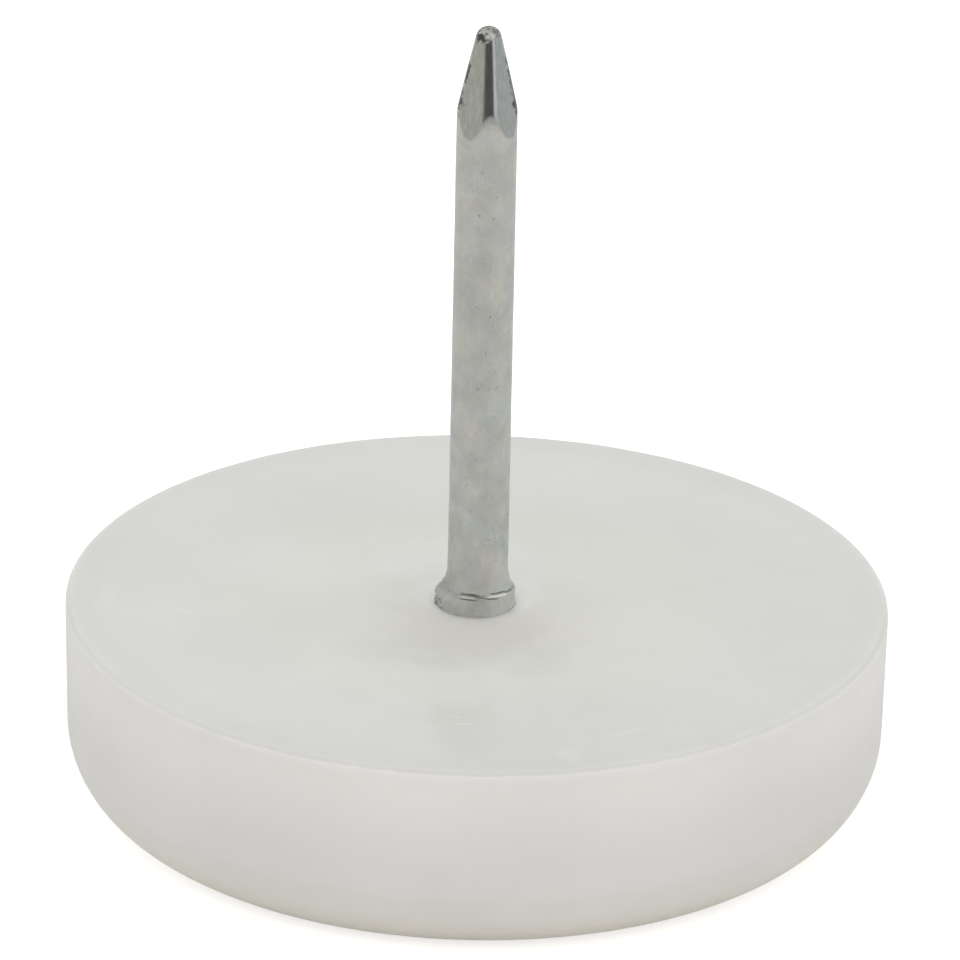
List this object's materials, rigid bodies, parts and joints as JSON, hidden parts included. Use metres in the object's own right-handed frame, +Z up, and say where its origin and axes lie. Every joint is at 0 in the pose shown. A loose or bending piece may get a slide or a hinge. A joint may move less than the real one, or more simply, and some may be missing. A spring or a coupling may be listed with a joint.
{
  "type": "nail-on furniture glide",
  "caption": "Round white plastic furniture glide with a rounded sole edge and an upright pointed steel nail set in its flat top, to be hammered into the end of a wooden leg.",
  "frame": {"origin": "centre of the pad's flat sole, where it meets the floor", "axes": "+Z up along the nail, from the sole to the point; -Y is the pictured side"},
  "size_m": [0.025, 0.025, 0.0255],
  "materials": {
    "pad_plastic": "satin",
    "zinc_steel": "satin"
  },
  "bodies": {
    "root": {"glide_pad": "pad_plastic", "nail": "zinc_steel"}
  },
  "joints": []
}
